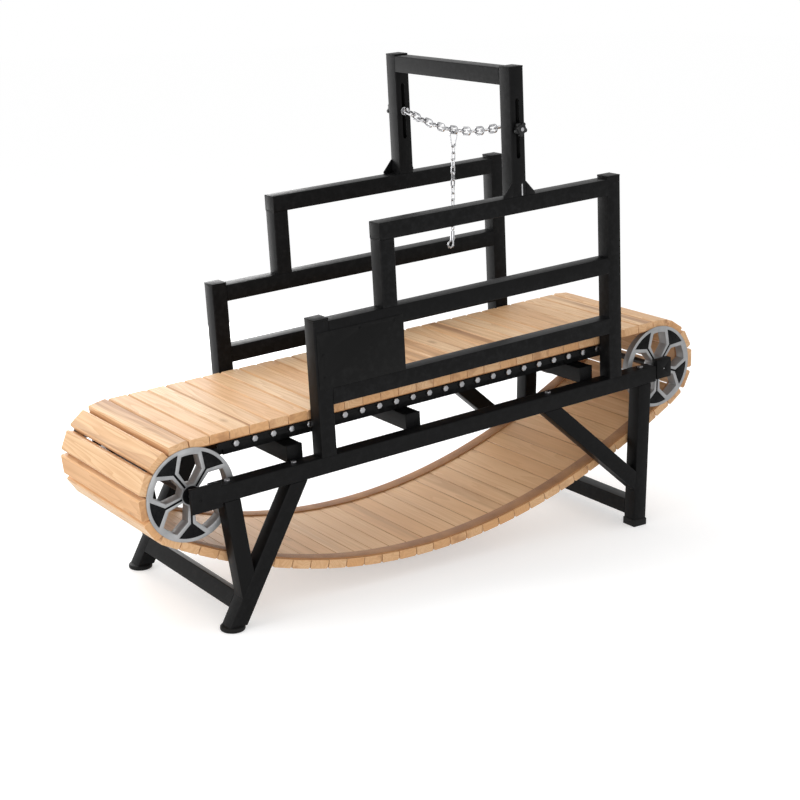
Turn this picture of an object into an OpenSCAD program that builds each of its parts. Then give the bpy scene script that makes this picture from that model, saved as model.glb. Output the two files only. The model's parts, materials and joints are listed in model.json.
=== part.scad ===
// Dog treadmill: an unpowered slat mill with guard rails and a tether portal.
// Millimetres. +X is the front, +Z is up, the floor is Z = 0.
// The deck frame has its origin midway between the axles and rises to the front.

/* [Overall] */
// Distance between the two axles along the deck
wheelbase = 1790; // [1600:10:2000]
// Width over the outer faces of the main beams
frame_width = 652; // [580:2:760]
// Height of the axle line above the floor at mid length
axle_height = 479; // [450:1:540]
// Slope of the deck in degrees, front end up
deck_incline = 3.5; // [1:0.5:5]

/* [Frame tube] */
// Width of the square tube
tube = 52; // [44:1:56]
// Wall of the square tube
tube_wall = 2; // [1.5:0.5:4]
// Thickness of the plastic caps
cap_t = 5; // [3:0.5:8]
// Depth of the plugs inside the tubes
plug_depth = 10; // [6:1:20]
// Main beam end ahead of the rear axle
beam_rear_setback = 50; // [45:1:62]
// Main beam end behind the front axle
beam_front_setback = 64; // [55:1:90]

/* [Legs] */
// Rear feet ahead of the rear axle
rear_foot_ahead = 105; // [65:5:155]
// Long rear legs meet the beams ahead of the rear axle
rear_leg_top_ahead = 322; // [275:1:375]
// Rear struts meet the beams ahead of the rear axle
strut_top_ahead = 100; // [65:1:135]
// Height where strut and long leg axes meet
strut_meet_h = 94; // [85:1:120]
// Height of the rear crossbar on the leg axis
rear_crossbar_h = 71; // [65:1:110]
// Front legs behind the front axle
front_leg_behind = 111; // [95:1:155]
// Front braces meet the beams behind the front axle
brace_top_behind = 510; // [465:1:555]
// Height where brace and front leg axes meet
brace_meet_h = 144; // [130:1:180]
// Height of the front crossbar
front_crossbar_h = 62; // [55:1:75]
// Diameter of the round rear feet
rear_foot_d = 75; // [64:1:90]
// Height of the round rear feet
rear_foot_h = 14; // [10:1:20]
// Height of the square front feet
front_foot_h = 24; // [16:1:28]
// Sole of the front feet under the tube
front_foot_sole = 4; // [3:0.5:8]
// Front feet proud of the tube
front_foot_proud = 2; // [1:0.5:4]
// Closed end of each leg under the beam
leg_plate_t = 5; // [4:0.5:8]
// Radius of the leg bolts
leg_bolt_r = 5; // [4:0.5:6]
// Width across flats of the bolt heads and nuts
hex_af = 17; // [15:0.5:19]
// Height of the bolt heads and nuts
hex_h = 6.4; // [5:0.1:8]

/* [Wheels] */
// Radius of the wheel over its flange
wheel_r = 140; // [132:1:150]
// Depth of the wheel along the axle
wheel_depth = 36; // [30:1:44]
// Gap between wheel face and main beam
wheel_gap = 7; // [6.5:0.5:12]
// Thickness of the guiding flange
flange_t = 3; // [2:0.5:5]
// Number of spokes
spoke_count = 5; // [5:1:5]
// Radius of the axles
axle_r = 10; // [8:0.5:12]
// Thickness of the rear axle plates
axle_plate_t = 14; // [12:0.5:20]
// Rear axle plates behind the axle
axle_plate_tail = 30; // [26:1:45]
// Height of the rear axle plates
axle_plate_h = 76; // [72:1:90]
// Rear axle plates behind the struts
plate_strut_gap = 6; // [5:1:12]
// Closed face outside each axle end
axle_skin = 4; // [3:0.5:6]
// Radius of the grease holes
grease_r = 2.5; // [2:0.25:4]
// Outer radius of the axle bushes
bush_r = 15; // [13:0.5:18]
// Flange of the axle bushes
bush_flange_t = 1.5; // [1:0.5:2.5]
// Depth of the spoke inlays
inlay_t = 2; // [1:0.5:4]
// Inlays below the wheel face
inlay_sunk = 0.6; // [0.3:0.1:1.5]
// Thickness of the hub covers
hub_cover_t = 4; // [2:0.5:4.5]
// Length of the lock collars
collar_len = 15; // [10:1:20]
// Radius of the lock collars
collar_r = 20; // [16:0.5:24]

/* [Front axle mount] */
// Thickness of the take-up tongues
tongue_t = 6; // [4:0.5:9]
// Depth of the take-up tongues inside the beams
tongue_depth = 90; // [60:1:120]
// Thickness of the axle blocks
block_t = 23; // [18:1:30]
// Height of the axle blocks
block_h = 66; // [56:1:80]
// Length of the axle blocks
block_len = 64; // [56:1:80]

/* [Belt] */
// Slat pitch aimed at
slat_pitch_aim = 65.5; // [58:0.5:75]
// Gap between slats
slat_gap = 2.2; // [1.2:0.1:6]
// Thickness of the slats
slat_t = 27; // [16:0.5:32]
// Slats sunk below the wheel flanges
slat_sink = 7.5; // [4:0.5:9]
// Chamfer on the outer edges of the slats
slat_edge = 4; // [1:0.5:6]
// Slat ends inside the wheel flanges
slat_end_gap = 1; // [0.5:0.5:5]
// First slat ahead of the rear axle
belt_phase = 43.5; // [20:0.5:45]
// Width of the carrier belts
carrier_w = 46; // [30:1:50]
// Thickness of the carrier belts
carrier_t = 4; // [3:0.5:6]
// Carrier belts inside the slat ends
carrier_inset = 4; // [3:0.5:8]
// Front sag angle to the deck in degrees
front_sag = 27.3; // [22:0.1:30]
// Rear sag angle to the deck in degrees
rear_sag = 30.5; // [25:0.1:33]

/* [Deck] */
// Rear cross tube ahead of the rear axle
rear_cross_ahead = 344; // [295:1:395]
// Middle cross tube ahead of the rear axle
mid_cross_ahead = 769; // [715:1:815]
// Front cross tube behind the front axle
front_cross_behind = 326; // [295:1:375]
// Cross tubes sunk below the beam tops
cross_sink = 8; // [4:1:14]
// Thickness of the cross tube end plates
end_plate_t = 7; // [5:0.5:9]
// End plates below the cross tubes
end_plate_drop = 40; // [34:1:46]
// Width of the stringers
stringer_w = 40; // [30:1:50]
// Height of the stringers
stringer_h = 25; // [20:1:30]
// Stringers ahead of the rear axle
stringer_rear = 95; // [60:1:215]
// Stringers behind the front axle
stringer_front = 180; // [165:1:220]
// Thickness of the roller bars
bar_t = 5; // [4:0.5:7]
// Height of the outer roller bars
bar_h = 19; // [14:0.5:20]
// Outer roller bars inside the slat ends
bar_inset = 1; // [0.5:0.5:3]
// Diameter of the rollers
roller_d = 22; // [21:0.5:32]
// Length of the rollers
roller_len = 49; // [42:1:54]
// Roller pitch
roller_pitch = 62; // [56:1:75]
// First roller ahead of the rear axle
roller_rear = 158; // [150:1:190]
// Last roller behind the front axle
roller_front = 206; // [200:1:230]
// Outer roller bars behind the first roller
bar_tail = 57; // [25:1:60]
// Inner roller bars behind the first roller
inner_bar_tail = 14; // [12:1:40]
// Roller bars ahead of the last roller
bar_nose = 26; // [20:1:32]

/* [Guards] */
// Rear guard posts ahead of the rear axle
rear_post_ahead = 431.5; // [415:0.5:465]
// Middle guard posts ahead of the rear axle
mid_post_ahead = 674; // [635:1:715]
// Front guard posts behind the front axle
front_post_behind = 241; // [195:1:275]
// Lower rail above the axle line
lower_rail_h = 206; // [195:1:230]
// Middle rail above the axle line
mid_rail_h = 407; // [380:1:430]
// Top rail above the axle line
top_rail_h = 661; // [600:1:720]
// Posts above their highest rail
post_proud = 5; // [3:0.5:10]
// Length of the side panel
panel_len = 304; // [260:1:340]
// Height of the side panel
panel_h = 172; // [168:1:185]
// Thickness of the side panel
panel_t = 2; // [1:0.5:4]
// Panel ahead of the rear post's rear face
panel_inset = 6; // [3:0.5:12]
// Radius of the panel rivet heads
rivet_r = 4; // [3:0.5:5]

/* [Portal] */
// Portal posts behind the front axle
portal_behind = 622; // [565:1:665]
// Portal crossbar centre above the axle line
portal_bar_h = 1049; // [1035:1:1120]
// Width of the height slots
slot_w = 14; // [13:0.5:18]
// Lower end of the height slots, as a share of the post
slot_low_share = 0.345; // [0.32:0.0005:0.42]
// Upper end of the height slots, as a share of the post
slot_top_share = 0.885; // [0.8:0.0005:0.9]
// Half width of the gussets on the rail
gusset_foot = 60; // [45:1:75]
// Upright edge of the gussets above the rail
gusset_step = 7; // [4:1:12]
// Gussets above the rail
gusset_rise = 45; // [35:1:60]
// Thickness of the gussets
gusset_t = 5; // [3:0.5:8]

/* [Tether carriage] */
// Radius of the eye bolts
eye_bolt_r = 6; // [5:0.25:6.25]
// Middle radius of the eyes
eye_ring_r = 10; // [9.5:0.5:14]
// Wire radius of the eyes
eye_wire_r = 3.5; // [3:0.25:4]
// Thickness of the washers
washer_t = 2; // [1.5:0.5:3]
// Radius of the washers
washer_r = 13; // [11:0.5:16]
// Radius of the star knobs over the lobes
knob_r = 22.5; // [18:0.5:28]
// Length of the star knobs
knob_len = 19; // [14:1:26]
// Number of lobes on the star knobs
knob_lobes = 5; // [5:1:7]
// Eye bolts proud of the knobs
bolt_proud = 1.5; // [1:0.5:4]
// Sag of the cross chain
chain_sag = 35; // [25:1:50]
// Link pitch of the cross chain aimed at
link_pitch_aim = 34; // [30:0.5:40]
// Wire radius of the cross chain
link_wire_r = 3.5; // [3:0.25:3.75]
// Outer width of the cross chain links
link_w = 28; // [24:0.5:30]

/* [Snap link and tether] */
// Wire radius of the snap link
snap_wire_r = 2.5; // [2:0.25:2.75]
// Middle radius of the snap link's wide end
snap_top_r = 13; // [9:0.5:16]
// Middle radius of the snap link's narrow end
snap_low_r = 6.5; // [5.5:0.25:7]
// Height between the two ends' centres
snap_span = 31; // [26:1:38]
// Nose of the snap link
snap_nose = 5; // [4:0.5:7]
// Radius of the gate
gate_r = 2; // [1.5:0.25:2.25]
// Radius of the gate pin
gate_pin_r = 0.8; // [0.6:0.1:1]
// Thickness of the hinge ears
ear_t = 1.2; // [1:0.1:2]
// Link pitch of the tether chain
tether_pitch = 21.4; // [19:0.2:26]
// Wire radius of the tether chain
tether_wire_r = 2.25; // [1.5:0.25:2.5]
// Outer width of the tether chain links
tether_w = 16.5; // [14:0.5:18]
// Number of tether chain links
tether_links = 12; // [8:2:14]

/* [Bolt snap] */
// Middle radius of the swivel eye
swivel_r = 7; // [6.5:0.5:9]
// Wire radius of the swivel eye
swivel_wire_r = 2.2; // [1.8:0.1:2.4]
// Radius of the swivel stem
stem_r = 3; // [2.5:0.25:3.5]
// Radius of the barrel
barrel_r = 7; // [6.5:0.25:9]
// Length of the barrel
barrel_len = 30; // [29:0.5:36]
// Middle radius of the hook
hook_r = 10; // [8:0.5:13]
// Wire radius of the hook
hook_wire_r = 2.8; // [2.25:0.25:3.25]
// Radius of the trigger bolt
trigger_r = 2.4; // [2:0.1:2.6]
// Length of the trigger bolt
trigger_len = 21; // [20.5:0.5:24]
// Travel of the trigger
trigger_travel = 9; // [6:0.5:9]
// Radius of the thumb stud
stud_r = 1.8; // [1.4:0.1:2]

/* [Clearances] */
// Running clearance of shafts in bores
run_clear = 0.05; // [0.02:0.01:0.1]
// Clearance of bolts in holes
bolt_clear = 0.2; // [0.1:0.05:0.4]
// Gap between belt and wheel rim
belt_clear = 0.4; // [0.3:0.05:0.6]
// Gap between rollers and carrier belts
roller_play = 0.1; // [0.05:0.05:0.3]
// Gap between sliding faces
face_gap = 0.2; // [0.1:0.05:0.4]
// Gap between chain links
link_play = 0.4; // [0.3:0.05:0.7]

/* [Hidden] */

$fn = 48;
overrun = 2;
far_reach = 2 * wheelbase;
half_base = wheelbase / 2;
rear_foot_x = half_base - rear_foot_ahead;
rear_leg_top_x = half_base - rear_leg_top_ahead;
strut_top_x = half_base - strut_top_ahead;
front_leg_x = half_base - front_leg_behind;
brace_top_x = half_base - brace_top_behind;
rear_cross_x = half_base - rear_cross_ahead;
mid_cross_x = half_base - mid_cross_ahead;
front_cross_x = half_base - front_cross_behind;
rear_post_x = half_base - rear_post_ahead;
mid_post_x = half_base - mid_post_ahead;
front_post_x = half_base - front_post_behind;
portal_x = half_base - portal_behind;
half_tube = tube / 2;
tube_bore = tube - 2 * tube_wall;
outer_y = frame_width / 2;
inner_y = outer_y - tube;
beam_y = outer_y - half_tube;
wheel_y = inner_y - wheel_gap;
slat_half = wheel_y - flange_t - slat_end_gap;
beam_len = wheelbase - beam_rear_setback - beam_front_setback;
beam_front_x = half_base - beam_front_setback;
beam_rear_x = beam_rear_setback - half_base;
axle_plate_y = outer_y - axle_plate_t;
rear_bush_len = axle_plate_t - axle_skin - face_gap;
front_bush_len = block_t - axle_skin - face_gap;
tongue_y = inner_y + tube_wall + face_gap;
hex_share = 2 / sqrt(3);

// Leg directions
rear_leg_top = deck_point([-rear_leg_top_x, -half_tube]);
rear_lean = atan2(rear_leg_top[1], rear_leg_top[0] + rear_foot_x);
strut_top = deck_point([-strut_top_x, -half_tube]);
strut_low = [-rear_foot_x + strut_meet_h / tan(rear_lean), strut_meet_h];
strut_lean = atan2(strut_top[1] - strut_low[1], strut_top[0] - strut_low[0]);
brace_top = deck_point([brace_top_x, -half_tube]);
brace_low = [front_leg_x, brace_meet_h];
brace_lean = atan2(brace_top[1] - brace_low[1], brace_top[0] - brace_low[0]);
front_leg_deck_x = (front_leg_x - half_tube * sin(deck_incline)) / cos(deck_incline);
axle_plate_nose = strut_top_ahead - half_tube / sin(strut_lean) - plate_strut_gap;
leg_bolt_xs = [-strut_top_x, -rear_leg_top_x, brace_top_x, front_leg_deck_x];

// Belt path in the deck frame
seat_r = wheel_r - slat_sink - carrier_t;
belt_r = wheel_r - slat_sink + belt_clear;
front_sweep = 180 - front_sag;
rear_sweep = 180 - rear_sag;
front_arc = belt_r * front_sweep * PI / 180;
rear_arc = belt_r * rear_sweep * PI / 180;
leave_pt = [half_base + belt_r * sin(front_sag), -belt_r * cos(front_sag)];
meet_pt = [-half_base - belt_r * sin(rear_sag), -belt_r * cos(rear_sag)];
leave_dir = [-cos(front_sag), -sin(front_sag)];
meet_dir = [cos(rear_sag), -sin(rear_sag)];
sag_reach = turn(meet_pt - leave_pt, meet_dir) / turn(leave_dir, meet_dir);
sag_pt = leave_pt + sag_reach * leave_dir;
sag_steps = 72;
arc_steps = 40;
sag_len = [for (i = [0 : sag_steps]) i == 0 ? 0 : norm(sag_at(i / sag_steps) - sag_at((i - 1) / sag_steps))];
sag_table = [for (i = [0 : sag_steps]) [sum_to(sag_len, i), i / sag_steps]];
sag_total = sag_table[sag_steps][0];
loop_len = wheelbase + front_arc + sag_total + rear_arc;
slat_count = round(loop_len / slat_pitch_aim);
slat_pitch = loop_len / slat_count;
slat_w = slat_pitch - slat_gap;
slat_lift = belt_clear / 2;

// Deck and rollers
roller_r = roller_d / 2;
roller_h = belt_r - carrier_t - roller_play - roller_r;
roller_count = round((wheelbase - roller_rear - roller_front) / roller_pitch) + 1;
roller_xs = [for (i = [0 : roller_count - 1]) roller_rear - half_base + i * roller_pitch];
bar_rear_x = roller_xs[0] - bar_tail;
bar_len = roller_xs[roller_count - 1] + bar_nose - bar_rear_x;
inner_bar_rear_x = roller_xs[0] - inner_bar_tail;
inner_bar_len = bar_len - bar_tail + inner_bar_tail;
bar_y = slat_half - bar_inset;
bar_top = roller_h + bar_h / 2;
roller_gap = 0.5 * bar_t / 5;
roller_out_y = bar_y - bar_t - roller_gap;
inner_bar_y = roller_out_y - roller_len - roller_gap;
stringer_y = inner_bar_y - bar_t;
cross_low = half_tube - cross_sink;
cross_top = cross_low + tube;
cross_xs = [-rear_cross_x, -mid_cross_x, front_cross_x];
cross_half = inner_y - end_plate_t;
plate_low = half_tube - end_plate_drop;
plate_bolt_h = (cross_low + plate_low) / 2;

// Guards and portal
rear_post_top = mid_rail_h + half_tube + post_proud;
front_post_top = top_rail_h + half_tube + post_proud;
top_rail_rear = -mid_post_x - half_tube;
rail_rear = -rear_post_x + half_tube;
rail_front = front_post_x - half_tube;
portal_top = portal_bar_h + half_tube;
post_low = top_rail_h + half_tube;
post_free = portal_bar_h - half_tube - post_low;
slot_len = post_free * (slot_top_share - slot_low_share);
slot_mid_h = post_low + post_free * (slot_top_share + slot_low_share) / 2;
panel_rear = -rear_post_x - half_tube + panel_inset;
panel_low = lower_rail_h + half_tube;
rivet_shares = [0.2, 0.6];
rivet_spots = concat(
  [for (s = rivet_shares) [-rear_post_x, panel_low + panel_h * s]],
  [for (s = rivet_shares) [panel_rear + panel_len * (s + 0.3), (panel_low + panel_h + mid_rail_h - half_tube) / 2]]);

// Tether carriage, hanging plumb
eye_pt = deck_point([portal_x, slot_mid_h]);
eye_y = inner_y - face_gap - washer_t - eye_wire_r - eye_ring_r;
chain_half = eye_y - eye_ring_r + eye_wire_r + link_play / 2;
chain_steps = 60;
chain_len_parts = [for (i = [0 : chain_steps]) i == 0 ? 0 : norm(chain_at(i / chain_steps) - chain_at((i - 1) / chain_steps))];
chain_table = [for (i = [0 : chain_steps]) [sum_to(chain_len_parts, i), i / chain_steps]];
chain_total = chain_table[chain_steps][0];
link_count = 4 * round((chain_total / link_pitch_aim - 3) / 4) + 3;
link_pitch = chain_total / link_count;
link_mid = (link_count - 1) / 2;
link_bend = link_w / 2 - link_wire_r;
swing_h = eye_pt[1] - chain_sag - link_bend;

// Snap link, drawn from the lower wire of the middle link
knuckle_share = 1.06;
knuckle_r = snap_wire_r * knuckle_share;
snap_top_h = link_wire_r + link_play + snap_wire_r - snap_top_r;
snap_low_h = snap_top_h - snap_span;
snap_bottom = snap_low_h - snap_low_r;
nose_h = snap_top_h - snap_nose;
pin_h = snap_low_h + snap_wire_r;
ear_y = gate_r + face_gap;
gate_lead = (snap_top_r - snap_low_r) / (nose_h - pin_h);
gate_len = norm([snap_top_r - snap_low_r, nose_h - pin_h]) - link_play - gate_r * gate_lead;
gate_tilt = atan2(nose_h - pin_h, snap_top_r - snap_low_r);

// Tether chain and bolt snap
tether_h = swing_h + snap_bottom;
tether_start = tether_h + snap_wire_r + link_play / 2;
tether_bend = tether_w / 2 - tether_wire_r;
swivel_h = tether_start - tether_links * tether_pitch + link_play / 2 - swivel_r + swivel_wire_r;
barrel_top = -swivel_r - swivel_wire_r - stem_r / 2;
barrel_low = barrel_top - barrel_len;
stem_neck = 5 * stem_r / 3;
stem_head_r = stem_r * 4 / 3;
stem_head_t = stem_r * 4 / 3;
trigger_x = barrel_r - trigger_r - 0.3 * trigger_r;
trigger_top = barrel_low + trigger_len * 0.38;
hook_h = trigger_top - trigger_len - link_play;
hook_x = trigger_x - hook_r;
hook_sweep = 255;
stud_h = trigger_top - 1.2 * stud_r - face_gap;

function deck_point(p) = [p[0] * cos(deck_incline) - p[1] * sin(deck_incline),
  axle_height + p[0] * sin(deck_incline) + p[1] * cos(deck_incline)];
function turn(a, b) = a[0] * b[1] - a[1] * b[0];
function sum_to(v, n) = n == 0 ? v[0] : v[n] + sum_to(v, n - 1);
function sag_at(u) = pow(1 - u, 2) * leave_pt + 2 * u * (1 - u) * sag_pt + pow(u, 2) * meet_pt;
function sag_dir(u) = (1 - u) * (sag_pt - leave_pt) + u * (meet_pt - sag_pt);
function heading(d) = atan2(d[1], d[0]);
function chain_at(u) = [(2 * u - 1) * chain_half, -chain_sag * (1 - pow(2 * u - 1, 2))];
function chain_joint(k) = chain_at(lookup(k * link_pitch, chain_table));
// Place on the belt: x, z and heading for a distance along the loop
function belt_at(s) =
  s < wheelbase ? [s - half_base, belt_r, 0]
  : s < wheelbase + front_arc ? arc_at(half_base, 90 - (s - wheelbase) / front_arc * front_sweep)
  : s < wheelbase + front_arc + sag_total ? hang_at(lookup(s - wheelbase - front_arc, sag_table))
  : arc_at(-half_base, 270 - rear_sag - (s - wheelbase - front_arc - sag_total) / rear_arc * rear_sweep);
function arc_at(cx, a) = [cx + belt_r * cos(a), belt_r * sin(a), a - 90];
function hang_at(u) = [sag_at(u)[0], sag_at(u)[1], heading(sag_dir(u))];
function slat_s(k) = belt_phase + k * slat_pitch;
// Closed outline of the belt at a distance outside its path
function belt_loop(off) = concat(
  [for (i = [0 : arc_steps]) shifted(arc_at(half_base, 90 - front_sweep * i / arc_steps), off)],
  [for (i = [1 : sag_steps - 1]) shifted(hang_at(i / sag_steps), off)],
  [for (i = [0 : arc_steps]) shifted(arc_at(-half_base, 270 - rear_sag - rear_sweep * i / arc_steps), off)]);
function shifted(p, off) = [p[0] - off * sin(p[2]), p[1] + off * cos(p[2])];

module on_deck() {
  translate([0, 0, axle_height]) rotate([0, -deck_incline, 0]) children();
}

module both_sides() {
  children();
  mirror([0, 1, 0]) children();
}

// Square tube along +X, centred on its axis
module square_tube(length) {
  difference() {
    translate([0, -half_tube, -half_tube]) cube([length, tube, tube]);
    translate([-overrun, -tube_bore / 2, -tube_bore / 2]) cube([length + 2 * overrun, tube_bore, tube_bore]);
  }
}

module upright(x, low, top) {
  translate([x, beam_y, low]) rotate([0, -90, 0]) square_tube(top - low);
}

module rail(x, h, length) {
  translate([x, beam_y, h]) square_tube(length);
}

// Plug that closes a tube end, its face at x = 0 and its body along +X
module tube_plug() {
  plug_w = tube_bore - 2 * face_gap;
  translate([0, -plug_w / 2, -plug_w / 2]) cube([plug_depth, plug_w, plug_w]);
}

// Cap over a post end with a plug inside the tube
module post_cap(x, top) {
  plug_w = tube_bore - 2 * face_gap;
  translate([x, beam_y, top]) {
    translate([-half_tube, -half_tube, 0]) cube([tube, tube, cap_t]);
    translate([-plug_w / 2, -plug_w / 2, -plug_depth]) cube([plug_w, plug_w, plug_depth + cap_t / 2]);
  }
}

// Hex bolt along -Z with its head seat at z = 0
module hex_bolt(r, length) {
  cylinder(r = hex_af / 2 * hex_share, h = hex_h, $fn = 6);
  translate([0, 0, -length]) cylinder(r = r, h = length + hex_h / 2);
}

// Hex nut from z = 0 upwards
module hex_nut(r) {
  difference() {
    cylinder(r = hex_af / 2 * hex_share, h = hex_h, $fn = 6);
    translate([0, 0, -overrun]) cylinder(r = r + bolt_clear, h = hex_h + 2 * overrun);
  }
}

// Space above the beam underside, lowered by a depth
module above_beam(depth) {
  on_deck() translate([-far_reach / 2, -far_reach / 2, -half_tube - depth]) cube([far_reach, far_reach, far_reach]);
}

module below(h) {
  translate([-far_reach / 2, -far_reach / 2, h - far_reach]) cube([far_reach, far_reach, far_reach]);
}

// Long square bar through a point in the side plane
module leaning_bar(p, lean, w) {
  translate([p[0], beam_y, p[1]]) rotate([0, -lean, 0])
    translate([-far_reach / 2, -w / 2, -w / 2]) cube([far_reach, w, w]);
}

module leg_bolt_holes() {
  on_deck() for (x = leg_bolt_xs)
    translate([x, beam_y, -tube]) cylinder(r = leg_bolt_r + bolt_clear, h = 2 * tube);
}

module slot_cut() {
  end = slot_len / 2 - slot_w / 2;
  translate([portal_x, beam_y, slot_mid_h]) {
    translate([-slot_w / 2, -tube, -end]) cube([slot_w, 2 * tube, 2 * end]);
    for (s = [-1, 1]) translate([0, -tube, s * end]) rotate([-90, 0, 0]) cylinder(r = slot_w / 2, h = 2 * tube);
  }
}

// Blind bore for an axle end from the inner face, with a grease hole
module axle_pocket(depth) {
  rotate([-90, 0, 0]) {
    translate([0, 0, -overrun]) cylinder(r = bush_r + run_clear, h = depth - axle_skin + overrun);
    cylinder(r = grease_r, h = depth + overrun);
  }
}

module main_beams() {
  color("#1c1c1e") on_deck() both_sides() difference() {
    union() {
      rail(beam_rear_x, 0, beam_len);
      translate([-half_base - axle_plate_tail, axle_plate_y, -half_tube])
        cube([axle_plate_tail + beam_rear_setback, axle_plate_t, tube]);
      translate([-half_base - axle_plate_tail, axle_plate_y, -axle_plate_h / 2])
        cube([axle_plate_tail + axle_plate_nose, axle_plate_t, axle_plate_h]);
    }
    translate([beam_rear_x, beam_y - tube_bore / 2, -tube_bore / 2])
      cube([axle_plate_tail + axle_plate_nose, tube_bore, tube_bore]);
    translate([-half_base, axle_plate_y, 0]) axle_pocket(axle_plate_t);
    for (x = leg_bolt_xs) translate([x, beam_y, -tube]) cylinder(r = leg_bolt_r + bolt_clear, h = 2 * tube);
    for (x = cross_xs) translate([x, inner_y - overrun, plate_bolt_h]) rotate([-90, 0, 0])
      cylinder(r = leg_bolt_r + bolt_clear, h = tube_wall + 2 * overrun);
  }
}

module beam_end_caps() {
  plug_y = tongue_y + tongue_t + face_gap;
  plug_h = tube_bore - 2 * face_gap;
  rear_plug_y = beam_y - plug_h / 2;
  color("#161617") on_deck() both_sides() {
    translate([beam_rear_x, rear_plug_y, -plug_h / 2])
      cube([plug_depth, plug_h, plug_h]);
    translate([beam_front_x - plug_depth, plug_y, -plug_h / 2])
      cube([plug_depth, outer_y - tube_wall - face_gap - plug_y, plug_h]);
  }
}

module take_up_tongues() {
  tongue_h = tube_bore - 2 * face_gap;
  color("#b9babc") on_deck() both_sides()
    translate([beam_front_x - tongue_depth, tongue_y, -tongue_h / 2])
      cube([half_base - block_len / 2 - beam_front_x + tongue_depth, tongue_t, tongue_h]);
}

module front_axle_blocks() {
  color("#1f1f21") on_deck() both_sides() difference() {
    translate([half_base - block_len / 2, inner_y, -block_h / 2]) cube([block_len, block_t, block_h]);
    translate([half_base, inner_y, 0]) axle_pocket(block_t);
  }
}

// Bush from the inner face outwards with its flange inside
module axle_bush(length) {
  rotate([-90, 0, 0]) difference() {
    union() {
      cylinder(r = bush_r, h = length);
      translate([0, 0, -bush_flange_t]) cylinder(r = bush_r + 2 * bush_flange_t, h = bush_flange_t);
    }
    translate([0, 0, -bush_flange_t - overrun]) cylinder(r = axle_r + run_clear, h = length + bush_flange_t + 2 * overrun);
  }
}

module axle_bushes() {
  color("#3a3a3c") on_deck() both_sides() {
    translate([-half_base, axle_plate_y, 0]) axle_bush(rear_bush_len);
    translate([half_base, inner_y, 0]) axle_bush(front_bush_len);
  }
}

module rear_legs() {
  foot = [-rear_foot_x, 0];
  color("#1c1c1e") both_sides() difference() {
    leaning_bar(foot, rear_lean, tube);
    above_beam(0);
    below(rear_foot_h);
    difference() {
      leaning_bar(foot, rear_lean, tube_bore);
      above_beam(leg_plate_t);
    }
    leg_bolt_holes();
  }
}

module rear_struts() {
  color("#1c1c1e") both_sides() difference() {
    leaning_bar(strut_low, strut_lean, tube);
    above_beam(0);
    translate([-rear_foot_x, beam_y, 0]) rotate([0, -rear_lean, 0])
      translate([-far_reach / 2, -tube, half_tube - far_reach]) cube([far_reach, 2 * tube, far_reach]);
    difference() {
      leaning_bar(strut_low, strut_lean, tube_bore);
      above_beam(leg_plate_t);
    }
    leg_bolt_holes();
  }
}

module rear_leg_crossbar() {
  color("#1c1c1e")
    translate([-rear_foot_x + rear_crossbar_h / tan(rear_lean), -inner_y, rear_crossbar_h])
      rotate([0, -rear_lean, 0]) rotate([0, 0, 90]) square_tube(2 * inner_y);
}

module rear_feet() {
  color("#121212") both_sides() translate([-rear_foot_x, beam_y, 0]) cylinder(r = rear_foot_d / 2, h = rear_foot_h);
}

module front_legs() {
  foot = [front_leg_x, 0];
  color("#1c1c1e") both_sides() difference() {
    leaning_bar(foot, 90, tube);
    above_beam(0);
    below(front_foot_sole);
    difference() {
      leaning_bar(foot, 90, tube_bore);
      above_beam(leg_plate_t);
    }
    leg_bolt_holes();
  }
}

module front_braces() {
  color("#1c1c1e") both_sides() difference() {
    leaning_bar(brace_low, brace_lean, tube);
    above_beam(0);
    translate([front_leg_x - half_tube, beam_y - tube, -far_reach / 2]) cube([far_reach, 2 * tube, far_reach]);
    difference() {
      leaning_bar(brace_low, brace_lean, tube_bore);
      above_beam(leg_plate_t);
    }
    leg_bolt_holes();
  }
}

module front_leg_crossbar() {
  color("#1c1c1e") translate([front_leg_x, -inner_y, front_crossbar_h]) rotate([0, 0, 90]) square_tube(2 * inner_y);
}

module front_feet() {
  shoe = tube + 2 * front_foot_proud;
  pocket = tube + 2 * face_gap;
  color("#121212") both_sides() translate([front_leg_x, beam_y, 0]) difference() {
    translate([-shoe / 2, -shoe / 2, 0]) cube([shoe, shoe, front_foot_h]);
    translate([-pocket / 2, -pocket / 2, front_foot_sole]) cube([pocket, pocket, front_foot_h]);
  }
}

module leg_bolts() {
  grip = tube + leg_plate_t;
  color("#b9babc") on_deck() both_sides() for (x = leg_bolt_xs) {
    translate([x, beam_y, half_tube]) hex_bolt(leg_bolt_r, grip + 1.5 * hex_h);
    translate([x, beam_y, half_tube - grip - hex_h]) hex_nut(leg_bolt_r);
  }
}

module deck_cross_tubes() {
  color("#202022") on_deck() for (x = cross_xs)
    translate([x, -cross_half, cross_low + half_tube]) rotate([0, 0, 90]) square_tube(2 * cross_half);
}

module cross_tube_end_plates() {
  color("#202022") on_deck() both_sides() for (x = cross_xs) difference() {
    translate([x - half_tube, cross_half, plate_low]) cube([tube, end_plate_t, cross_top - plate_low]);
    translate([x, cross_half - overrun, plate_bolt_h]) rotate([-90, 0, 0])
      cylinder(r = leg_bolt_r + bolt_clear, h = end_plate_t + 2 * overrun);
  }
}

module plate_bolts() {
  grip = end_plate_t + tube_wall;
  color("#8c8d90") on_deck() both_sides() for (x = cross_xs) translate([x, cross_half, plate_bolt_h]) {
    rotate([90, 0, 0]) hex_bolt(leg_bolt_r, grip + 1.5 * hex_h);
    translate([0, grip, 0]) rotate([-90, 0, 0]) hex_nut(leg_bolt_r);
  }
}

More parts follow.
